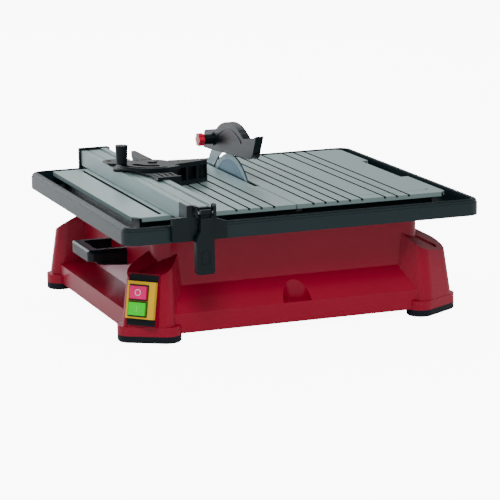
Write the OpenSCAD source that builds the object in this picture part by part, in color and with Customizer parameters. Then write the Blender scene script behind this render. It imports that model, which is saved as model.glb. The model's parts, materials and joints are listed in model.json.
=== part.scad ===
// Bench tile cutter: water tray, tilting right plate, 180 mm blade, guard, fence and mitre gauge.
// Millimetres. X to the right along the front, Y to the back, Z up, floor at z = 0.

/* [Tray and plates] */
// Tray width
tray_w = 508; // [460:1:560]
// Tray depth
tray_d = 466; // [420:1:500]
// Height of the table top
top_z = 165; // [150:1:190]
// Sheet thickness of the plates
sheet_t = 1.6; // [1.2:0.1:2.5]

/* [Blade] */
// Blade radius
blade_r = 90; // [80:1:100]
// Blade thickness
blade_t = 2.2; // [1.6:0.1:3]
// Spindle height
spindle_z = 104; // [98:1:110]
// Spindle distance behind the middle
spindle_y = 86; // [70:1:100]

/* [Base] */
// Height of the moulded base
base_top = 142.5; // [130:0.5:150]
// Wall thickness of the mouldings
wall = 3.5; // [2.5:0.1:5]
// Height of the rubber under each leg
pad_h = 9.5; // [6:0.5:14]

/* [Hidden] */
$fn = 64;
blade_x = 9.5;
hinge_x = 21;
hinge_z = 160.4;
leg_x = 205;
leg_front_y = -172.5;
mid_y = 8.75;
red = [0.62, 0.04, 0.09];
slate = [0.16, 0.22, 0.24];
plate_c = [0.62, 0.74, 0.74];
steel = [0.7, 0.72, 0.74];
black = [0.07, 0.08, 0.09];

// Rounded rectangle between two corners.
module rrect(x0, y0, x1, y1, r) {
    translate([x0 + r, y0]) square([x1 - x0 - 2 * r, y1 - y0]);
    translate([x0, y0 + r]) square([x1 - x0, y1 - y0 - 2 * r]);
    for (x = [x0 + r, x1 - r]) for (y = [y0 + r, y1 - r]) translate([x, y]) circle(r);
}

// Plan shape with two parallel sides and round ends.
module stadium(l, r) {
    square([2 * l, 2 * r], center = true);
    for (s = [-l, l]) translate([s, 0]) circle(r);
}

module box(x0, y0, z0, x1, y1, z1) {
    translate([x0, y0, z0]) cube([x1 - x0, y1 - y0, z1 - z0]);
}

module rod_x(x0, x1, y, z, r) {
    translate([x0, y, z]) rotate([0, 90, 0]) cylinder(h = x1 - x0, r = r);
}

module rod_y(y0, y1, x, z, r) {
    translate([x, y0, z]) rotate([-90, 0, 0]) cylinder(h = y1 - y0, r = r);
}

// Outline in the Y-Z plane drawn between two X values.
module side_plate(x0, x1) {
    translate([x0, 0, 0]) rotate([90, 0, 90]) linear_extrude(x1 - x0) children();
}

// Outline in the X-Z plane drawn between two Y values.
module front_plate(y0, y1) {
    translate([0, y1, 0]) rotate([90, 0, 0]) linear_extrude(y1 - y0) children();
}

module at_leg(right, rear) {
    translate([0, rear ? 2 * mid_y : 0, 0])
        mirror([0, rear ? 1 : 0, 0])
            mirror([right ? 1 : 0, 0, 0])
                children();
}

// ---- base ----
pocket_x = -0.5;
pocket_r = 20;
leg_slope = 32;
leg_cut_z = 81;
recess = 3;
// Everything above the slanted top of a leg, taken a depth further down.
module leg_cutter(depth) {
    translate([-leg_x, leg_front_y, leg_cut_z]) rotate([0, 0, 45]) translate([-20, 0, 0])
        rotate([0, -leg_slope, 0]) translate([-80, -80, -depth]) cube([200, 160, 160]);
}

module leg_body() {
    difference() {
        hull() {
            translate([-leg_x, leg_front_y, 18]) rotate(-30) linear_extrude(1) stadium(18, 18.5);
            translate([-leg_x + 7, leg_front_y + 7, 112]) rotate(-30) linear_extrude(2) stadium(14, 16);
            translate([-159, -150, 18]) cylinder(h = 1, r = 18);
            translate([-170, -150, 130]) cylinder(h = 2, r = 16);
        }
        leg_cutter(0);
        intersection() {
            leg_cutter(recess);
            translate([-198.8, -165.3, 60]) rotate(14.7) linear_extrude(80) stadium(12.5, 5);
        }
    }
    translate([-leg_x, leg_front_y, pad_h]) rotate(-30) linear_extrude(12.5) stadium(24, 19.2);
}

module base_outer() {
    intersection() {
        side_plate(-229, 229)
            polygon([[-193, 10], [-193, 37], [-169, 69.5], [-169, base_top], [200, base_top],
                     [200, 52], [214, 37], [214, 10]]);
        front_plate(-193, 214)
            polygon([[-229, 10], [-229, 37], [-192, 46], [-192, base_top], [192, base_top],
                     [192, 46], [229, 37], [229, 10]]);
        union() {
            translate([0, 0, 10]) linear_extrude(60)
                polygon([[-229, -160], [-184, -193], [184, -193], [229, -160], [229, 178],
                         [184, 214], [-184, 214], [-229, 178]]);
            translate([0, 0, 60]) linear_extrude(base_top - 60) rrect(-192, -169, 192, 200, 22);
        }
    }
}

plug_out = 11.5;
module plug_hole() {
    translate([-leg_x, leg_front_y, 9]) rotate(-30) translate([0, -plug_out]) linear_extrude(16)
        stadium(13, 3.5);
}

module inner_room() {
    translate([0, 0, 5]) linear_extrude(base_top) rrect(-191, -168, 191, 199, 22);
}

module leg_tower(right, rear) color(red) difference() {
    at_leg(right, rear) difference() {
        leg_body();
        plug_hole();
    }
    base_outer();
    inner_room();
}
module leg_front_left() color(red) difference() {
    union() {
        leg_body();
        switch_place() box(-25, -35.5, -12, 21.3, 35.5, -0.4);
    }
    plug_hole();
    base_outer();
    inner_room();
    switch_place() box(-21, -34, -0.2, 21, 34, 40);
    switch_room();
}
module leg_front_right() leg_tower(true, false);
module leg_rear_left() leg_tower(false, true);
module leg_rear_right() leg_tower(true, true);

// Height where the flared skirt meets the walls: lower along the front.
module skirt_zone() {
    box(-240, -164, 0, 240, 230, 46);
    box(-240, -240, 0, 240, -164, 37);
    for (x = [-240, 184]) box(x, -240, 0, x + 56, -160, 46);
}

module base_shell() difference() {
    base_outer();
    translate([0, 0, 30]) linear_extrude(base_top - 34)
        rrect(-192 + wall, -169 + wall, 192 - wall, 200 - wall, 22 - wall);
    box(-178, -146, base_top - 5, 178, 190, base_top + 1);
    translate([0, 0, 9]) linear_extrude(25)
        polygon([[-229 + wall, -158], [-182.5, -193 + wall], [182.5, -193 + wall],
                 [229 - wall, -158], [229 - wall, 176], [182.5, 214 - wall],
                 [-182.5, 214 - wall], [-229 + wall, 176]]);
    side_plate(-180, 180) polygon([[-189.5, 20], [-189.5, 35.3], [-165, 68.3], [-165, 20]]);
    switch_room();
}

module boss(x, y, h) translate([x, y, 13]) difference() {
    cylinder(h = h, r = 4.5);
    translate([0, 0, -1]) cylinder(h = 14, r = 1.6);
}

module base_skirt() color(red) {
    intersection() {
        base_shell();
        skirt_zone();
    }
    for (x = [-206, 206]) for (y = [-60, 80]) boss(x, y, 23);
    for (x = [-115, 115]) boss(x, 203, 23);
}

module base_housing() color(red) {
    difference() {
        base_shell();
        skirt_zone();
        translate([pocket_x, -193, 37.5]) cylinder(h = 40, r = pocket_r);
        for (s = [-36, 36]) rod_x(-200, -180, s, 88, 1.7);
        box(4, 185, base_top - 5, 32, 196.4, base_top + 1);
        rod_y(190, 206, 146.6, 126.8, 3.4);
        rod_y(190, 206, 120, 90, 7.1);
        for (x = [-183, 183]) for (y = [-100, 120]) translate([x, y, 130]) cylinder(h = 20, r = 2.1);
        for (x = [-100, 100]) for (y = [-156, 192.5]) translate([x, y, 130]) cylinder(h = 20, r = 2.1);
    }
    difference() {
        translate([pocket_x, -193, 34]) cylinder(h = 34, r = pocket_r + 2);
        translate([pocket_x, -193, 37.5]) cylinder(h = 40, r = pocket_r);
        box(-30, -230, 20, 45, -191, 90);
        box(-30, -230, 20, 45, -188.1, 37);
        side_plate(-40, 60) polygon([[-193, 35.8], [-160, 80.5], [-160, 100], [-193, 100]]);
    }
    for (x = [-115, 115]) boss(x, -178, 37);
}

module bottom_plate() color(slate) difference() {
    union() {
        box(-222, -117, 11, 222, 135, 13);
        box(-149, -186.5, 11, 149, 207.5, 13);
    }
    box(-97, -4, 10, 24, 176, 14);
    for (x = [-206, 206]) for (y = [-60, 80]) translate([x, y, 10]) cylinder(h = 4, r = 2);
    for (x = [-115, 115]) for (y = [-178, 203]) translate([x, y, 10]) cylinder(h = 4, r = 2);
    for (i = [0:5]) box(60, -60 + 14 * i, 10, 130, -54 + 14 * i, 14);
}

module bottom_screw(x, y) translate([x, y, 0]) {
    translate([0, 0, 8.6]) cylinder(h = 2.4, r = 3.6);
    translate([0, 0, 10]) cylinder(h = 13, r = 1.55);
}

module bottom_screws() color(steel) {
    for (x = [-206, 206]) for (y = [-60, 80]) bottom_screw(x, y);
    for (x = [-115, 115]) for (y = [-178, 203]) bottom_screw(x, y);
}

module foot_pad() color(black) {
    translate([-leg_x, leg_front_y, 0]) rotate(-30) {
        linear_extrude(1.5) stadium(24, 17.7);
        translate([0, 0, 1.5]) linear_extrude(pad_h - 1.5) stadium(24, 19.2);
        translate([0, -plug_out, pad_h]) linear_extrude(14) stadium(12.8, 3.3);
    }
}
module foot_front_left() at_leg(false, false) foot_pad();
module foot_front_right() at_leg(true, false) foot_pad();
module foot_rear_left() at_leg(false, true) foot_pad();
module foot_rear_right() at_leg(true, true) foot_pad();

// ---- tray ----
rim_in_x = 244.5;
rim_in_y = 227.6;
gutter_z = 146;
isl = [-208, -150, 218, 205];
isl_t = 4;
isl_top = 161;
module tray_slab(inset, z0, z1, r) {
    translate([0, 0, z0]) linear_extrude(z1 - z0)
        rrect(-tray_w / 2 + inset, -tray_d / 2 + inset, tray_w / 2 - inset, tray_d / 2 - inset, r);
}

module splash_tray() color(slate) {
    difference() {
        union() {
            tray_slab(0, base_top, 160, 20);
            tray_slab(1.2, 160, 163, 19);
            tray_slab(3, 163, 164.4, 17);
            tray_slab(4.6, 164.4, top_z, 16);
        }
        translate([0, 0, gutter_z]) linear_extrude(40)
            rrect(-rim_in_x, -rim_in_y, rim_in_x, rim_in_y, 12);
        translate([0, 0, base_top - 1]) linear_extrude(19) difference() {
            rrect(-251.5, -230.5, 251.5, 230.5, 17);
            rrect(-247, -229.6, 247, 229.6, 13);
        }
        box(isl[0] + isl_t, isl[1] + isl_t, 130, isl[2] - isl_t, isl[3] - isl_t, 160);
        for (x = [-183, 183]) for (y = [-100, 120]) translate([x, y, 140]) cylinder(h = 5, r = 1.6);
        for (x = [-100, 100]) for (y = [-156, 192.5]) translate([x, y, 140]) cylinder(h = 5, r = 1.6);
    }
    difference() {
        box(isl[0], isl[1], base_top, isl[2], isl[3], isl_top);
        box(isl[0] + isl_t, isl[1] + isl_t, 130, isl[2] - isl_t, isl[3] - isl_t, 180);
        box(8, -160, 152, 34, 210, 180);
        for (x = [-183, 183]) for (y = [-100, 120]) translate([x, y, 140]) cylinder(h = 5, r = 1.6);
    }
    for (x = [-216, -60, 60, 216]) box(x - 1, -rim_in_y - 0.5, gutter_z - 1, x + 1, -212, 155);
    for (x = [-216, 216]) box(x - 1, 212, gutter_z - 1, x + 1, rim_in_y + 0.5, 155);
}

module tray_screw(x, y) translate([x, y, 0]) {
    translate([0, 0, 135.9]) cylinder(h = 2.6, r = 3.6);
    translate([0, 0, 138]) cylinder(h = 6.5, r = 1.55);
}

module tray_screws() color(steel) {
    for (x = [-183, 183]) for (y = [-100, 120]) tray_screw(x, y);
    for (x = [-100, 100]) for (y = [-156, 192.5]) tray_screw(x, y);
}

// ---- plates ----
groove_d = 2.8;
channel_z = 161.2;
plate_z = top_z - sheet_t;
left_grooves = [-76.7, -58.5, -40.8, -22.6];
right_grooves = [34.3, 52, 70, 88.1, 106, 140, 158, 176];
module groove(x, y0, y1, w) {
    box(x - w / 2, y0, top_z - groove_d, x + w / 2, y1, top_z + 1);
}

module channel(x, w) {
    box(x - w / 2 - 1.4, -163, channel_z, x + w / 2 + 1.4, 212, plate_z + 0.4);
}

module lip_x(x, y0, y1) {
    box(x, y0, top_z - 6, x + sheet_t, y1, top_z - 0.5);
}

module lip_y(y, x0, x1) {
    box(x0, y, top_z - 6, x1, y + sheet_t, top_z - 0.5);
}

module left_table() color(plate_c) difference() {
    union() {
        translate([0, 0, plate_z]) linear_extrude(sheet_t)
            polygon([[-209, -165.3], [9.4, -165.3], [9.4, 215], [-221.3, 215], [-221.3, -153]]);
        lip_x(-221.3, -153, 215);
        lip_y(-165.3, -209, 9.4);
        lip_y(215 - sheet_t, -221.3, 9.4);
        channel(-179.7, 5);
        for (x = left_grooves) channel(x, 3.4);
    }
    groove(-179.7, -152, 205, 5);
    for (x = left_grooves) groove(x, -166, 216, 3.4);
    box(5.5, -19, 150, 12, 196, 170);
}

module right_table() color(plate_c) {
    difference() {
        union() {
            translate([0, 0, plate_z]) linear_extrude(sheet_t)
                polygon([[10.9, -165.3], [225, -165.3], [233, -157], [233, -37], [222, -37],
                         [222, 106], [233, 106], [233, 207], [225, 215], [10.9, 215]]);
            lip_y(-165.3, 10.9, 225);
            lip_y(215 - sheet_t, 10.9, 225);
            lip_x(233 - sheet_t, -157, -37);
            lip_x(233 - sheet_t, 106, 207);
            lip_x(222 - sheet_t, -37, 106);
            for (y = [-140.5, 189.5]) hinge_lug(y, 6);
            for (x = right_grooves) channel(x, 3.4);
        }
        for (x = right_grooves) groove(x, -166, 216, 3.4);
        box(110, -142.4, top_z - 0.9, 213, -140.6, top_z + 1);
        translate([212.4, -142, top_z - 0.9]) rotate(52) cube([13, 1.8, 2]);
        box(10, -19, 150, 13.5, 196, 170);
        for (y = [-141, 189]) rod_y(y, y + 8, hinge_x, hinge_z, 2.05);
    }
}

module hinge_lug(y, t) {
    rod_y(y, y + t, hinge_x, hinge_z, 4);
    box(hinge_x - 2, y, hinge_z, hinge_x + 14, y + t, plate_z + 0.2);
}

module hinge_bracket(y) {
    difference() {
        union() {
            rod_y(y, y + 5, hinge_x, hinge_z, 2.9);
            box(hinge_x - 4, y, 148, hinge_x + 4, y + 5, hinge_z);
            box(hinge_x - 4, y, 146.2, hinge_x + 12, y + 5, 150);
        }
        rod_y(y - 1, y + 6, hinge_x, hinge_z, 2);
    }
}

module hinge_brackets() color(steel) {
    hinge_bracket(-146);
    hinge_bracket(196);
}

module hinge_pins() color(steel) {
    rod_y(-146, -134.7, hinge_x, hinge_z, 2);
    rod_y(189.7, 201, hinge_x, hinge_z, 2);
}

// Slotted quadrant that hangs from the tilting plate.
quad_r = 130;
module bevel_quadrant() color(steel) front_plate(178, 181) difference() {
    union() {
        intersection() {
            translate([hinge_x, hinge_z]) difference() {
                circle(quad_r + 8, $fn = 128);
                circle(quad_r - 8, $fn = 128);
            }
            polygon([[hinge_x, hinge_z], [hinge_x + 200, hinge_z - 14], [hinge_x + 100, hinge_z - 250]]);
        }
        translate([hinge_x + quad_r - 8, channel_z - 12]) square([16, 12]);
        translate([60, channel_z - 5]) square([99, 5]);
    }
    for (a = [-63:1.5:-12]) translate([hinge_x, hinge_z]) rotate(a) translate([quad_r, 0]) circle(3.4);
}

bolt_x = 146.6;
bolt_z = 126.8;
module bevel_lock_knob() color(black) {
    rod_y(172, 206, bolt_x, bolt_z, 3);
    rod_y(172, 176.5, bolt_x, bolt_z, 6);
    rod_y(203, 210, bolt_x, bolt_z, 8);
    difference() {
        rod_y(208, 224, bolt_x, bolt_z, 13.5);
        for (a = [0:60:300]) translate([bolt_x, 0, bolt_z]) rotate([0, a + 30, 0])
            rod_y(206, 226, 15.5, 0, 4);
    }
}

// ---- tub ----
module water_tub() color(slate) {
    difference() {
        translate([0, 0, 6]) linear_extrude(54) rrect(-95, 0, 22, 172, 6);
        translate([0, 0, 8.5]) linear_extrude(60) rrect(-92.5, 2.5, 19.5, 169.5, 4);
        translate([-40, 30, 0]) cylinder(h = 20, r = 6.1);
    }
    difference() {
        box(-104, -9, 13, 27, 181, 15);
        box(-94, 1, 12, 21, 171, 16);
        box(23.5, -20, 12, 40, 200, 16);
    }
}

module drain_plug() color(black) translate([-40, 30, 0]) {
    translate([0, 0, 3]) cylinder(h = 3, r = 9);
    translate([0, 0, 6]) cylinder(h = 5, r = 6);
}

// ---- blade and spindle ----
module blade() color(steel) difference() {
    union() {
        rod_x(blade_x - 0.8, blade_x + 0.8, spindle_y, spindle_z, blade_r - 7);
        difference() {
            rod_x(blade_x - blade_t / 2, blade_x + blade_t / 2, spindle_y, spindle_z, blade_r);
            rod_x(0, 20, spindle_y, spindle_z, blade_r - 8);
        }
    }
    rod_x(0, 20, spindle_y, spindle_z, 11.15);
}

module inner_flange() color(steel) difference() {
    union() {
        rod_x(10.3, 14.5, spindle_y, spindle_z, 30);
        rod_x(14.5, 17, spindle_y, spindle_z, 14);
        rod_x(8.9, 10.4, spindle_y, spindle_z, 11.1);
    }
    rod_x(0, 20, spindle_y, spindle_z, 6);
}

module outer_flange() color(steel) difference() {
    union() {
        rod_x(3.5, 8.7, spindle_y, spindle_z, 30);
        rod_x(2.4, 3.6, spindle_y, spindle_z, 16);
    }
    rod_x(7.4, 10, spindle_y, spindle_z, 24);
    rod_x(0, 20, spindle_y, spindle_z, 6);
}

module arbor_nut() color(steel) difference() {
    translate([-4.5, spindle_y, spindle_z]) rotate([0, 90, 0]) cylinder(h = 6.9, r = 10.5, $fn = 6);
    rod_x(-6, 4, spindle_y, spindle_z, 6);
}

module spindle_shaft() color(steel) {
    rod_x(-8, 17, spindle_y, spindle_z, 6);
    rod_x(17, 32.9, spindle_y, spindle_z, 8);
    rod_x(32.9, 43.1, spindle_y, spindle_z, 5.95);
    rod_x(43.1, 146.9, spindle_y, spindle_z, 7.5);
    rod_x(146.9, 157, spindle_y, spindle_z, 5.95);
}

module rotor_core() color(steel) difference() {
    rod_x(62, 122, spindle_y, spindle_z, 25.5);
    rod_x(60, 124, spindle_y, spindle_z, 7.5);
}

module cooling_fan() color(black) {
    difference() {
        rod_x(126, 136, spindle_y, spindle_z, 14);
        rod_x(120, 140, spindle_y, spindle_z, 7.5);
    }
    difference() {
        rod_x(126, 128, spindle_y, spindle_z, 39);
        rod_x(120, 140, spindle_y, spindle_z, 13);
    }
    for (a = [0:40:320]) translate([0, spindle_y, spindle_z]) rotate([a, 0, 0])
        box(127.5, -0.8, 13.5, 136, 0.8, 38);
}

module bearing(x) color(steel) difference() {
    rod_x(x, x + 10, spindle_y, spindle_z, 16);
    rod_x(x - 1, x + 11, spindle_y, spindle_z, 6);
    for (s = [x - 0.5, x + 9.3]) difference() {
        rod_x(s, s + 1.2, spindle_y, spindle_z, 13.2);
        rod_x(s - 1, s + 3, spindle_y, spindle_z, 8.6);
    }
}
module bearing_front() bearing(33);
module bearing_rear() bearing(147);

module motor_front_bell() color(steel) difference() {
    rod_x(30, 46, spindle_y, spindle_z, 46);
    rod_x(29, 50, spindle_y, spindle_z, 12);
    rod_x(33, 43, spindle_y, spindle_z, 16);
    difference() {
        rod_x(38, 50, spindle_y, spindle_z, 42);
        rod_x(34, 52, spindle_y, spindle_z, 20);
    }
}

module motor_housing() color(black) difference() {
    union() {
        rod_x(46, 146, spindle_y, spindle_z, 46);
        for (s = [-1, 1]) box(60, spindle_y + 26 * s - 2, 60, 124, spindle_y + 26 * s + 2, 68);
    }
    rod_x(40, 150, spindle_y, spindle_z, 43);
    for (i = [0:4]) box(129 + 3 * i, spindle_y - 20, 140, 130.4 + 3 * i, spindle_y + 20, 160);
}

module stator_core() color([0.55, 0.35, 0.2]) difference() {
    union() {
        rod_x(62, 122, spindle_y, spindle_z, 43);
        rod_x(52, 62, spindle_y, spindle_z, 38);
    }
    rod_x(50, 124, spindle_y, spindle_z, 26.2);
}

module motor_rear_bell() color(steel) difference() {
    rod_x(146, 160, spindle_y, spindle_z, 46);
    rod_x(140, 147, spindle_y, spindle_z, 13);
    rod_x(147, 157.1, spindle_y, spindle_z, 16);
    difference() {
        rod_x(140, 154, spindle_y, spindle_z, 42);
        rod_x(138, 156, spindle_y, spindle_z, 20);
    }
    for (a = [0:45:315]) translate([0, spindle_y, spindle_z]) rotate([a, 0, 0]) rod_x(150, 165, 0, 31, 4);
}

module motor_bracket() color(steel) difference() {
    union() {
        box(27, 30, 13, 30, 142, 148);
        box(27, 140, 112, 30, 194, 142);
        box(27, 30, 13, 70, 142, 16);
        for (y = [30, 139]) box(29, y, 15, 60, y + 3, 40);
    }
    rod_x(20, 40, spindle_y, spindle_z, 18);
    for (y = [182.6, 189.4]) rod_x(20, 40, y, 132, 2);
}

// ---- riving knife ----
module riving_knife() color(steel) {
    side_plate(8.5, 10.5) difference() {
        union() {
            translate([147, 208]) circle(8.5);
            translate([138.6, 186]) square([16.8, 20]);
        }
        translate([147, 208]) circle(3.05);
        translate([spindle_y, spindle_z]) circle(99, $fn = 160);
    }
    side_plate(8.5, 10.5) difference() {
        union() {
            translate([spindle_y, spindle_z]) difference() {
                circle(118, $fn = 160);
                circle(94.5, $fn = 160);
            }
            translate([180, 112]) square([15, 40]);
        }
        polygon([[-60, -60], [300, -60], [300, 112], [spindle_y, 112], [131, 218], [-60, 240]]);
        translate([188, 150]) square([60, 100]);
        translate([194.6, 100]) square([60, 100]);
        polygon([[100, 240], [138, 198], [160, 198], [200, 240]]);
        translate([147, 208]) circle(3.05);
        for (y = [182.6, 189.4]) translate([y, 132]) circle(2);
    }
}

module knife_bracket() color(steel) difference() {
    box(10.5, 179.5, 122, 27, 193, 142);
    for (y = [182.6, 189.4]) rod_x(0, 40, y, 132, 2);
}

module knife_screws() color(steel) for (y = [182.6, 189.4]) {
    rod_x(4.9, 8.5, y, 132, 3.3);
    rod_x(8, 33, y, 132, 1.95);
    rod_x(30, 33, y, 132, 3.3);
}

// ---- guard ----
module guard_outline(inset) {
    difference() {
        union() {
            intersection() {
                translate([76, 137.7]) circle(104 - inset, $fn = 160);
                translate([21, 184 + inset]) square([150, 80]);
            }
            polygon([[-30.4 + inset, 237.4 - inset], [-9.4 + inset, 198 + inset], [21.5, 190],
                     [21.5, 226.5 - inset], [9, 228 - inset], [-15, 232 - inset]]);
            polygon([[140, 190], [188.8 - inset, 189.1], [185.7 - inset, 213.3 - inset],
                     [181.5 - inset, 216.4 - inset], [151, 221.6 - inset], [140, 219.6 - inset]]);
        }
        translate([9, 299]) circle(71 + inset, $fn = 128);
        polygon([[-40, 150], [-12.5, 206.8], [-9.4, 202.8], [2, 199.6], [34.6, 198.6], [92.3, 194.4],
                 [160.5, 190.2], [188.8, 189.1], [200, 150]]);
    }
}

module blade_guard() color(slate) difference() {
    union() {
        side_plate(3.7, 15.3) guard_outline(0);
        side_plate(2.9, 4) difference() {
            intersection() {
                translate([76, 137.7]) circle(95, $fn = 128);
                translate([30, 205]) square([100, 60]);
            }
            translate([76, 137.7]) circle(92.5, $fn = 128);
        }
        rod_x(-11.4, 4, 147, 208, 7.6);
        rod_x(1.5, 4, 147, 208, 9.5);
    }
    side_plate(5.7, 13.3) guard_outline(2);
    side_plate(5.7, 13.3)
        polygon([[-40, 150], [-36, 235], [-9, 206], [3, 203], [35, 202], [92, 198], [150, 198],
                 [150, 207], [200, 207], [200, 150]]);
    rod_x(-20, 20, 147, 208, 3.1);
}

module guard_bolt() color(steel) {
    difference() {
        translate([15.5, 147, 208]) rotate([0, 90, 0]) cylinder(h = 3.5, r = 5.2);
        translate([17.5, 147, 208]) rotate([0, 90, 0]) cylinder(h = 2, r = 2.6, $fn = 6);
    }
    rod_x(-18, 15.6, 147, 208, 3);
}

module guard_knob() color(red) difference() {
    union() {
        side_plate(-20.5, -12) translate([147, 208]) {
            circle(8);
            for (a = [0:60:300]) rotate(a) translate([6.8, 0]) circle(3.2);
        }
        rod_x(-12.1, -11.7, 147, 208, 6);
    }
    rod_x(-18.5, 4, 147, 208, 3.05);
}

// ---- fence ----
fence_l = -169;
fence_r = -130;
module fence_rail() color(plate_c) difference() {
    front_plate(-233, 245) difference() {
        union() {
            translate([fence_l, 165.8]) square([fence_r - fence_l, 21.7]);
            translate([-139, 180]) square([9, 9.5]);
        }
        translate([fence_l + 2.5, 168.3]) square([26, 16.7]);
        translate([fence_r - 8, 168.3]) square([5.5, 16.7]);
        translate([-141.2, 181]) square([1.4, 12]);
        translate([-160.5, 186.6]) square([3, 3]);
    }
}

lever_y = -243.5;
lever_z = 181;
pin_r = 2;
module clamp_wings() {
    difference() {
        front_plate(-240.5, -234.4)
            polygon([[-193, 144.5], [-193, 176], [-173, 176], [-173, 191], [-163, 191], [-163, 186],
                     [-157.9, 186], [-157.9, 162], [-160.3, 152], [-160.3, 150], [-140.8, 150],
                     [-140.8, 186], [-139.3, 191], [-132.5, 191], [-132.5, 172], [-117.5, 167],
                     [-117.5, 144.5]]);
        front_plate(-242, -237.2) translate([-164.3, 140]) square([26.5, 12]);
    }
    box(-171.5, -240.5, 165.9, -169.1, -205, 190);
}

module fence_clamp() color(slate) difference() {
    union() {
        clamp_wings();
        for (x = [-161.8, -136.6]) box(x - 2, -247, 176, x + 2, -234.4, 190.5);
        box(-164, -237.3, 176, -136, -234.4, 187);
    }
    rod_x(-175, -120, lever_y, lever_z, pin_r + 0.05);
}

module lever_pin() color(steel) rod_x(-163.8, -134.6, lever_y, lever_z, pin_r);

module clamp_lever() color(slate) difference() {
    union() {
        difference() {
            front_plate(-250, -241)
                polygon([[-157, 184], [-141.4, 184], [-141.4, 158], [-139.3, 150], [-138.6, 143],
                         [-138.6, 103], [-140.6, 100.5], [-161.8, 100.5], [-163.8, 103],
                         [-163.8, 143], [-161.9, 150], [-157.3, 158]]);
            box(-156.3, -252, 175, -142.3, -246, 190);
            front_plate(-246, -240) difference() {
                translate([-161.3, 103]) square([20.4, 42]);
                translate([-152.3, 100]) square([2, 50]);
            }
            front_plate(-251, -249.2) difference() {
                lever_mark(6, 13);
                lever_mark(5, 12.5);
            }
        }
        rod_x(-157, -141.4, lever_y, lever_z, 4);
    }
    rod_x(-175, -120, lever_y, lever_z, pin_r + 0.05);
}
// Bullet outline that is sunk into the front of the lever.
module lever_mark(r, h) translate([-151.2, 127]) {
    translate([-r, -h]) square([2 * r, h]);
    circle(r);
}

module fence_rear_hook() color(slate) {
    difference() {
        union() {
            front_plate(245, 250) translate([-172, 148]) square([45, 43]);
            box(-172, 238, 148, -127, 250, 152);
            box(-129.8, 236, 168, -127, 250, 191);
        }
        front_plate(246.5, 252) translate([-166, 170]) square([32, 12]);
    }
    box(-166.3, 240, 168.6, -142.8, 246, 184.6);
}

// ---- mitre gauge ----
piv = [-121.7, 52.5];
saddle_z = 189.8;
module mitre_slider() color(slate) difference() {
    union() {
        box(-146, -42, saddle_z, -112, 112, saddle_z + 2);
        box(-129.3, -20, 172, -126.3, 112, saddle_z + 1);
        box(-146, -42, 187.8, -141.6, 112, saddle_z + 1);
        translate([piv[0], piv[1], 168]) cylinder(h = saddle_z - 166.2, r = 7.9);
        box(-128, 35, 168, -112, 62, saddle_z + 1);
        translate([0, 0, saddle_z]) linear_extrude(2)
            polygon([[-145, -20], [-145, 131], [-166, 131], [-173, 124], [-173, 100], [-160, 92],
                     [-176, 66], [-178.5, 52], [-172, 45], [-160, 44]]);
        translate([-167, 56, 188]) cylinder(h = saddle_z - 186.2, r = 11.5);
        translate([0, 0, saddle_z]) linear_extrude(2) translate([-131, 90]) square([19, 20]);
        translate([0, 0, saddle_z]) linear_extrude(7)
            polygon([[-129, 82], [-112, 82], [-112, 160], [-118.5, 160], [-129, 122]]);
        for (i = [0:3]) box(-143 + 8 * i, -40, saddle_z + 1, -140 + 8 * i, -12, saddle_z + 3.6);
        box(-146, -45, saddle_z, -112, -41, saddle_z + 3.6);
        box(-129.3, -45, 178, -112, -41, saddle_z + 3.6);
    }
    box(-127, 6, 160, -110, 40.5, 192);
    translate([-165, 58, 180]) cylinder(h = 20, r = 3.05);
    translate([piv[0], piv[1], 160]) cylinder(h = 40, r = 4);
    translate([-165, 119, 180]) cylinder(h = 20, r = 3.5);
}

slot_r = 43.65;
module protractor() color(slate) difference() {
    union() {
        translate([piv[0], piv[1], 192.2]) linear_extrude(5.2) intersection() {
            circle(49, $fn = 96);
            union() {
                rotate(145) square([60, 60]);
                rotate(215) square([60, 60]);
                circle(24);
            }
        }
        translate([0, 0, 192.2]) linear_extrude(5.2)
            polygon([[-140, 62], [-112, 64], [-104.5, 60.8], [-96, 56], [-96, 24], [-104.4, 16],
                     [-122, 30]]);
    }
    for (a = [157:2.5:279]) translate([piv[0], piv[1], 190]) rotate(a) translate([slot_r, 0, 0])
        cylinder(h = 8, r = 3.2);
    for (a = [196:3:262]) translate([piv[0], piv[1], 190]) rotate(a) translate([28, 0, 0])
        cylinder(h = 8, r = 6);
    translate([piv[0], piv[1], 190]) cylinder(h = 10, r = 4.05);
}

module mitre_pivot() color(steel) translate([piv[0], piv[1], 0]) {
    translate([0, 0, 172]) cylinder(h = 26, r = 3.95);
    translate([0, 0, 197.6]) cylinder(h = 2, r = 7);
}

module mitre_face() color(slate) difference() {
    translate([0, 0, 167]) linear_extrude(30.5)
        polygon([[-104.5, 60.8], [-40.2, 52.2], [-42, 49], [-44, 40.9], [-52, 37.4], [-104.4, 21.7]]);
    for (i = [0:2]) translate([0, 0, 172]) linear_extrude(19)
        polygon([[-93 + 17 * i, 54 - 2.3 * i], [-79.5 + 17 * i, 52 - 2.3 * i],
                 [-79.5 + 17 * i, 10], [-93 + 17 * i, 10]]);
    translate([0, 0, 191.8]) linear_extrude(8)
        polygon([[-106, 16], [-95.9, 16], [-95.9, 62], [-106, 62]]);
}

module mitre_knob() color(black) translate([-165, 58, 0]) {
    translate([0, 0, 188]) cylinder(h = 11, r = 3);
    difference() {
        translate([0, 0, 197.6]) cylinder(h = 26.4, r1 = 7.4, r2 = 9);
        for (a = [0:30:330]) rotate(a) translate([9.9, 0, 200]) cylinder(h = 26, r = 1.2);
    }
}

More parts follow.
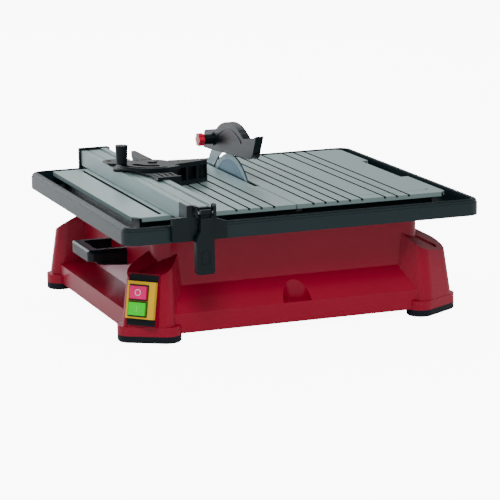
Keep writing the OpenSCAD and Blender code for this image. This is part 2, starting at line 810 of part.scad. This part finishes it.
// ---- handle ----
grip_top = 98.5;
module carry_handle() color(black) difference() {
    union() {
        translate([0, 0, 83]) linear_extrude(15.5) difference() {
            union() {
                rrect(-247, -42, -215, 42, 8);
                box2(-225, -42, -192, 42);
            }
            rrect(-233, -30, -205, 30, 6);
            box2(-212, -30, -190, 30);
        }
        for (s = [-1, 1]) front_plate(36 * s - 6, 36 * s + 6)
            polygon([[-238, 84], [-234, 79.5], [-224, 77.5], [-192, 75], [-192, 96.5],
                     [-238, 96.5]]);
    }
    for (s = [-36, 36]) rod_x(-230, -190, s, 88, 1.6);
    front_plate(-43, -40.2) translate([-219, 85.5]) stadium(3, 4.6);
    for (y = [-42, 42]) translate([0, y, grip_top]) rotate([45, 0, 0])
        box(-250, -3.2, -3.2, -190, 3.2, 3.2);
    translate([-247, 0, grip_top]) rotate([0, 45, 0]) box(-1.6, -60, -1.6, 1.6, 60, 1.6);
}
module box2(x0, y0, x1, y1) translate([x0, y0]) square([x1 - x0, y1 - y0]);

module handle_screws() color(steel) for (s = [-36, 36]) {
    rod_x(-206, -188.5, s, 88, 1.55);
    rod_x(-188.5, -186, s, 88, 4);
}

// ---- switch: local x across, y up the face, z out ----
sw_tilt = 13;
module switch_place() {
    translate([-leg_x, leg_front_y, 0]) rotate([0, 0, -45]) translate([-0.7, -15, 58])
        rotate([90 - sw_tilt, 0, 0]) children();
}

// Room for the switch body, cut from the leg and the base behind it.
module switch_room() switch_place() box(-17.3, -24.3, -14.3, 17.3, 30.3, 30);

module switch_frame() color(black) switch_place() difference() {
    union() {
        box(-20.5, -33.5, 0, 20.5, 33.5, 2);
        box(-17, -24, -14, 17, 30, 1);
    }
    box(-15.5, -22, -12, 15.5, 24, 3);
}

module switch_cover() color([0.85, 0.72, 0.15]) switch_place() difference() {
    union() {
        box(-20.5, -24.6, 2, 20.5, 24.6, 8);
        box(-17, -1, 7.5, 11.5, 20.6, 8.8);
        box(-17, -22.4, 7.5, 11.5, -1.6, 8.8);
    }
    box(-19, -23, 1, 19, 23, 6);
    box(-15.2, 1, 0, 9.7, 18.8, 10);
    box(-15.2, -20.6, 0, 9.7, -2.8, 10);
}

module sw_button(y0) {
    box(-14.8, y0 + 0.4, 3.2, 9.3, y0 + 17.4, 12);
}

module stop_button() color([0.8, 0.1, 0.35]) switch_place() difference() {
    sw_button(1);
    translate([-2.8, 9.9, 11.4]) difference() {
        cylinder(h = 2, r = 4.6);
        translate([0, 0, -1]) cylinder(h = 4, r = 3.1);
    }
}

module start_button() color([0.2, 0.8, 0.1]) switch_place() difference() {
    sw_button(-20.6);
    box(-3.5, -16, 11.4, -2.1, -7.4, 13);
}

module cable_gland() color(black) difference() {
    union() {
        rod_y(188, 216, 120, 90, 7);
        rod_y(200, 206, 120, 90, 11);
        translate([120, 188, 90]) rotate([-90, 0, 0]) cylinder(h = 8, r = 11, $fn = 6);
    }
    rod_y(180, 220, 120, 90, 4.2);
}

base_housing();
base_skirt();
leg_front_left();
leg_front_right();
leg_rear_left();
leg_rear_right();
bottom_plate();
foot_front_left();
foot_front_right();
foot_rear_left();
foot_rear_right();
splash_tray();
left_table();
right_table();
hinge_brackets();
hinge_pins();
bevel_quadrant();
bevel_lock_knob();
water_tub();
drain_plug();
blade();
inner_flange();
outer_flange();
arbor_nut();
spindle_shaft();
rotor_core();
cooling_fan();
bearing_front();
bearing_rear();
motor_front_bell();
motor_housing();
stator_core();
motor_rear_bell();
motor_bracket();
riving_knife();
knife_bracket();
knife_screws();
blade_guard();
guard_bolt();
guard_knob();
fence_rail();
fence_clamp();
clamp_lever();
lever_pin();
fence_rear_hook();
mitre_slider();
protractor();
mitre_pivot();
mitre_face();
mitre_knob();
carry_handle();
handle_screws();
switch_frame();
switch_cover();
stop_button();
start_button();
cable_gland();
tray_screws();
bottom_screws();
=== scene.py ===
import json
import math
import bpy
from mathutils import Matrix, Vector


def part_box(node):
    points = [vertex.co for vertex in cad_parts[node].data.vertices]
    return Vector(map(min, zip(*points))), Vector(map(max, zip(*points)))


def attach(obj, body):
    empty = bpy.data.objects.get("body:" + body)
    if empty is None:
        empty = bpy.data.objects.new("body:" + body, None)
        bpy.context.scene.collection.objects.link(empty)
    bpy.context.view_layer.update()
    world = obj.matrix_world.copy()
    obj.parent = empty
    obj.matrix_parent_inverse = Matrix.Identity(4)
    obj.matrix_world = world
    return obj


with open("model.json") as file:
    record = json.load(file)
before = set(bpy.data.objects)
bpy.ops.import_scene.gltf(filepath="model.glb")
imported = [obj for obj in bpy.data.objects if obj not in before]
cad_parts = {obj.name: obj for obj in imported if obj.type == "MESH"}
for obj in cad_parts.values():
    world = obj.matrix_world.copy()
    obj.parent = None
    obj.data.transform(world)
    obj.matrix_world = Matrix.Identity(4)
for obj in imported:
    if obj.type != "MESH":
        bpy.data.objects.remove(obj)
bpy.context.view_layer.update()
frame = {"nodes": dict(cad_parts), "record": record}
NODES = frame["nodes"]


scene = bpy.context.scene


def material(name, color, rough, metal=0.0, grain=900.0, bump=0.05, vary=0.10, coat=0.0,
             brushed=None, spec=0.5):
    """A surface with slightly uneven colour and a fine grain."""
    mat = bpy.data.materials.new(name)
    mat.use_nodes = True
    nt = mat.node_tree
    shader = nt.nodes["Principled BSDF"]
    shader.inputs["Roughness"].default_value = rough
    shader.inputs["Metallic"].default_value = metal
    shader.inputs["Coat Weight"].default_value = coat
    shader.inputs["Coat Roughness"].default_value = 0.08
    shader.inputs["Specular IOR Level"].default_value = spec
    coord = nt.nodes.new("ShaderNodeTexCoord")
    scale = nt.nodes.new("ShaderNodeMapping")
    scale.inputs["Scale"].default_value = brushed or (1.0, 1.0, 1.0)
    nt.links.new(coord.outputs["Object"], scale.inputs["Vector"])
    cloud = nt.nodes.new("ShaderNodeTexNoise")
    cloud.inputs["Scale"].default_value = 14.0
    cloud.inputs["Detail"].default_value = 4.0
    nt.links.new(coord.outputs["Object"], cloud.inputs["Vector"])
    mix = nt.nodes.new("ShaderNodeMix")
    mix.data_type = "RGBA"
    mix.inputs["A"].default_value = (*[c * (1 - vary) for c in color], 1)
    mix.inputs["B"].default_value = (*[min(1, c * (1 + vary)) for c in color], 1)
    nt.links.new(cloud.outputs["Fac"], mix.inputs["Factor"])
    nt.links.new(mix.outputs["Result"], shader.inputs["Base Color"])
    fine = nt.nodes.new("ShaderNodeTexNoise")
    fine.inputs["Scale"].default_value = grain
    fine.inputs["Detail"].default_value = 2.0
    nt.links.new(scale.outputs["Vector"], fine.inputs["Vector"])
    relief = nt.nodes.new("ShaderNodeBump")
    relief.inputs["Strength"].default_value = bump
    relief.inputs["Distance"].default_value = 0.0003
    nt.links.new(fine.outputs["Fac"], relief.inputs["Height"])
    nt.links.new(relief.outputs["Normal"], shader.inputs["Normal"])
    return mat


RED = material("red_shell", (0.31, 0.0003, 0.022),
               0.30, coat=0.12, grain=400, bump=0.02, vary=0.08, spec=0.22)
SLATE = material("slate_plastic", (0.0035, 0.009, 0.011), 0.34, grain=1400, bump=0.08, spec=0.22)
SLATE_TRAY = material("slate_tray", (0.006, 0.018, 0.022), 0.30, grain=1400, bump=0.05, spec=0.30)
TUB = material("tub_plastic", (0.01, 0.013, 0.015), 0.5, grain=1400, bump=0.1)
PLATE = material("coated_steel", (0.27, 0.375, 0.375),
                 0.40, metal=0.1, grain=1600, bump=0.04, vary=0.04)
FENCE = material("fence_metal", (0.25, 0.345, 0.345), 0.38, metal=0.2, grain=500, bump=0.04,
                 vary=0.04, brushed=(40, 1, 40))
BLADE = material("blade_steel", (0.05, 0.115, 0.16), 0.36, metal=0.7, grain=300, bump=0.05)
RIM = material("blade_rim", (0.20, 0.29, 0.31), 0.5, metal=0.4, grain=2500, bump=0.5)
KNIFE = material("knife_steel", (0.16, 0.21, 0.23), 0.34, metal=0.85, grain=500, bump=0.05)
ZINC = material("zinc_steel", (0.50, 0.52, 0.54), 0.32, metal=0.95, grain=700, bump=0.06)
PIVOT = material("pivot_dark", (0.02, 0.028, 0.032), 0.4, metal=0.3)
IRON = material("motor_iron", (0.16, 0.16, 0.17), 0.5, metal=0.8, grain=1200, bump=0.3,
                brushed=(20, 1, 1))
ALLOY = material("motor_alloy", (0.42, 0.43, 0.44), 0.5, metal=0.9, grain=1500, bump=0.3)
ENAMEL = material("motor_paint", (0.012, 0.012, 0.014), 0.35, coat=0.3)
RUBBER = material("rubber", (0.004, 0.008, 0.014), 0.5, grain=1800, bump=0.2, spec=0.2)
DARK = material("dark_plastic", (0.0035, 0.008, 0.011), 0.34, grain=1500, bump=0.08, spec=0.24)
GROOVE = material("groove_shade", (0.006, 0.010, 0.011), 0.7, spec=0.1)
KNOB = material("red_knob", (0.72, 0.001, 0.035), 0.28, coat=0.15)
YELLOW = material("cover_yellow", (0.88, 0.50, 0.0005), 0.36, coat=0.05, vary=0.05)
BEZEL = material("cover_bezel", (0.045, 0.036, 0.006), 0.42)
STOP = material("stop_red", (0.88, 0.004, 0.17), 0.34, coat=0.05, vary=0.05)
START = material("start_green", (0.0005, 0.85, 0.0005), 0.38, coat=0.05, vary=0.05)
MARK = material("mark_pale", (0.95, 0.62, 0.78), 0.4)
MARK_GREEN = material("mark_green", (0.30, 0.92, 0.15), 0.4)

looks = {
    "red_shell": (RED, 0.0011), "slate_plastic": (SLATE, 0.0005), "tub_plastic": (TUB, 0.0006),
    "coated_steel": (PLATE, 0.00022), "fence_metal": (FENCE, 0.0004), "blade_steel": (KNIFE, 0.00012),
    "zinc_steel": (ZINC, 0.0003), "motor_iron": (IRON, 0.0003), "motor_alloy": (ALLOY, 0.0005),
    "motor_paint": (ENAMEL, 0.0005), "rubber": (RUBBER, 0.0008), "dark_plastic": (DARK, 0.0006),
    "red_knob": (KNOB, 0.0007), "cover_yellow": (YELLOW, 0.0005), "stop_red": (STOP, 0.0009),
    "start_green": (START, 0.0009),
}
own_look = {"blade": (BLADE, 0.00012), "splash_tray": (SLATE_TRAY, 0.0007),
            "mitre_pivot": (PIVOT, 0.0003)}


def dress(obj, mat, round_edge, angle=32):
    """Gives a piece its material, softened edges and smooth curved faces."""
    if not obj.material_slots:
        obj.data.materials.append(mat)
    for s in obj.material_slots:
        s.link = "OBJECT"
        s.material = mat
    for poly in obj.data.polygons:
        poly.use_smooth = True
    bevel = obj.modifiers.new("soft_edges", "BEVEL")
    bevel.width = round_edge
    bevel.segments = 2
    bevel.limit_method = "ANGLE"
    bevel.angle_limit = math.radians(angle)
    bevel.harden_normals = True
    bevel.use_clamp_overlap = True


for entry in frame["record"]["subparts"]:
    node = entry["node"]
    mat, round_edge = own_look.get(node) or looks[entry["material_slot"]]
    dress(NODES[node], mat, round_edge)


def mesh_piece(name, verts, faces, mat, body, round_edge=0.0):
    mesh = bpy.data.meshes.new(name)
    mesh.from_pydata(verts, [], faces)
    mesh.validate()
    obj = bpy.data.objects.new(name, mesh)
    scene.collection.objects.link(obj)
    obj.data.materials.append(mat)
    if round_edge:
        dress(obj, mat, round_edge)
    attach(obj, body)
    return obj


# ---- diamond rim: a thin rough band on each face of the blade ----
blade_lo, blade_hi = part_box("blade")
centre = (blade_lo + blade_hi) / 2
blade_r = (blade_hi.z - blade_lo.z) / 2


def ring_band(name, x, r0, r1, mat, body, steps=180, thick=0.00004):
    verts, faces = [], []
    for i in range(steps):
        a = 2 * math.pi * i / steps
        for dx in (-thick, thick):
            for r in (r0, r1):
                verts.append((x + dx, centre.y + r * math.cos(a), centre.z + r * math.sin(a)))
    for i in range(steps):
        p, q = 4 * i, 4 * ((i + 1) % steps)
        for a, b in ((0, 1), (1, 3), (3, 2), (2, 0)):
            faces.append((p + a, p + b, q + b, q + a))
    return mesh_piece(name, verts, faces, mat, body)


RIM_WIDTH = 0.0078
for side, x in (("left", blade_lo.x), ("right", blade_hi.x)):
    ring_band(f"diamond_rim_{side}", x, blade_r - RIM_WIDTH, blade_r - 0.0001, RIM, "spindle")

# ---- the walls and bottoms of the plate grooves are in shade colour ----
GROOVE_FLOOR = 0.1622
GROOVES = [(x, 0.0034) for x in (-0.0767, -0.0585, -0.0408, -0.0226, 0.0343, 0.052, 0.070, 0.0881,
                                 0.106, 0.140, 0.158, 0.176)] + [(-0.1797, 0.0050)]


def second_look(node, mat, chosen):
    """Puts a second material on the faces that chosen(centre, normal) picks."""
    obj = NODES[node]
    obj.data.materials.append(mat)
    obj.material_slots[-1].link = "OBJECT"
    obj.material_slots[-1].material = mat
    turn = obj.matrix_world.to_3x3()
    for poly in obj.data.polygons:
        if chosen(obj.matrix_world @ poly.center, turn @ poly.normal):
            poly.material_index = len(obj.material_slots) - 1


def in_groove(mid, normal):
    for x, wide in GROOVES:
        on_wall = abs(normal.x) > 0.7 and abs(abs(mid.x - x) - wide / 2) < 0.0001
        if on_wall and mid.z > GROOVE_FLOOR - 0.0001:
            return True
        if abs(mid.x - x) < wide / 2 and abs(mid.z - GROOVE_FLOOR) < 0.0001:
            return True
    return False


for node in ("left_table", "right_table"):
    second_look(node, GROOVE, in_groove)

# ---- switch: bezels round the buttons and the plain O and I marks ----
SWITCH = (Matrix.Translation((-0.205, -0.1725, 0)) @ Matrix.Rotation(math.radians(-45), 4, "Z")
          @ Matrix.Translation((-0.0007, -0.015, 0.058)) @ Matrix.Rotation(math.radians(77), 4, "X"))
COVER_FACE = 0.0081
second_look("switch_cover", BEZEL,
            lambda mid, normal: (SWITCH.inverted() @ mid).z > COVER_FACE)


def flat_mark(name, outline, hole, z0, z1, mat, body, slot):
    """A thin raised shape on a button; with a hole it is a ring."""
    verts, faces = [], []
    if hole:
        n = len(outline)
        for ring in (outline, hole):
            for z in (z0, z1):
                verts += [tuple(SWITCH @ Vector((x, y, z))) for x, y in ring]
        for i in range(n):
            j = (i + 1) % n
            a, b, c, d = 0, n, 2 * n, 3 * n
            faces += [(b + i, b + j, d + j, d + i), (a + j, a + i, c + i, c + j),
                      (a + i, a + j, b + j, b + i), (c + j, c + i, d + i, d + j)]
    else:
        n = len(outline)
        for z in (z0, z1):
            verts += [tuple(SWITCH @ Vector((x, y, z))) for x, y in outline]
        faces = [tuple(reversed(range(n))), tuple(range(n, 2 * n))]
        faces += [(i, (i + 1) % n, n + (i + 1) % n, n + i) for i in range(n)]
    return mesh_piece(name, verts, faces, mat, body)


def round_line(x, y, r, steps=48):
    return [(x + r * math.cos(2 * math.pi * i / steps), y + r * math.sin(2 * math.pi * i / steps))
            for i in range(steps)]


MARK_Z = (0.01142, 0.01175)
flat_mark("mark_o", round_line(-0.0028, 0.0099, 0.00450), round_line(-0.0028, 0.0099, 0.00320),
          *MARK_Z, MARK, "stop_key", "stop_red")
flat_mark("mark_i", [(-0.0034, -0.0159), (-0.0022, -0.0159), (-0.0022, -0.0075),
                     (-0.0034, -0.0075)], None, *MARK_Z, MARK_GREEN, "start_key", "start_green")

# ---- camera, floor and light ----
YAW, PITCH, ROLL = (math.radians(a) for a in (-20.62, 12.21, 0.77))
ahead = Vector((-math.sin(YAW) * math.cos(PITCH), math.cos(YAW) * math.cos(PITCH), -math.sin(PITCH)))
level = Vector((math.cos(YAW), math.sin(YAW), 0))
down = ahead.cross(level)
right = math.cos(ROLL) * level + math.sin(ROLL) * down
down = -math.sin(ROLL) * level + math.cos(ROLL) * down
turn = Matrix((right, -down, -ahead)).transposed()
cam_data = bpy.data.cameras.new("camera")
cam_data.lens = 166.6
cam_data.sensor_width = 36
cam_data.clip_end = 50
cam = bpy.data.objects.new("camera", cam_data)
cam.matrix_world = Matrix.Translation((-1.1271, -3.0061, 0.765)) @ turn.to_4x4()
scene.collection.objects.link(cam)
scene.camera = cam

bpy.ops.mesh.primitive_plane_add(size=30, location=(0, 0, 0))
floor = bpy.context.object
floor.name = "floor"
# the floor glows for the camera only and gives no light to the object
paper = material("floor_pale", (0.93, 0.93, 0.93), 0.8, grain=60, bump=0.0, vary=0.01)
glow = paper.node_tree.nodes["Principled BSDF"]
glow.inputs["Emission Color"].default_value = (1, 1, 1, 1)
seen = paper.node_tree.nodes.new("ShaderNodeLightPath")
gain = paper.node_tree.nodes.new("ShaderNodeMath")
gain.operation = "MULTIPLY"
FLOOR_GLOW = 9.0
gain.inputs[1].default_value = FLOOR_GLOW
paper.node_tree.links.new(seen.outputs["Is Camera Ray"], gain.inputs[0])
paper.node_tree.links.new(gain.outputs["Value"], glow.inputs["Emission Strength"])
floor.data.materials.append(paper)


def area_light(name, place, target, power, width, color=(1, 1, 1)):
    data = bpy.data.lights.new(name, "AREA")
    data.energy = power
    data.size = width
    data.color = color
    lamp = bpy.data.objects.new(name, data)
    lamp.location = place
    lamp.rotation_euler = (Vector(target) - Vector(place)).to_track_quat("-Z", "Y").to_euler()
    scene.collection.objects.link(lamp)


area_light("key", (-0.9, -2.2, 2.6), (0, 0, 0.1), 62, 1.2)
area_light("fill", (2.4, -1.6, 1.4), (0, 0, 0.1), 8, 2.0)
area_light("rim", (-1.5, 3.0, 0.55), (-0.1, 0, 0.12), 60, 1.5, (0.86, 0.93, 1.0))
area_light("back", (0.2, 2.6, 2.2), (0, 0, 0.15), 42, 1.6)
world = bpy.data.worlds.new("studio")
world.use_nodes = True
world.node_tree.nodes["Background"].inputs["Color"].default_value = (1, 1, 1, 1)
world.node_tree.nodes["Background"].inputs["Strength"].default_value = 0.42
scene.world = world
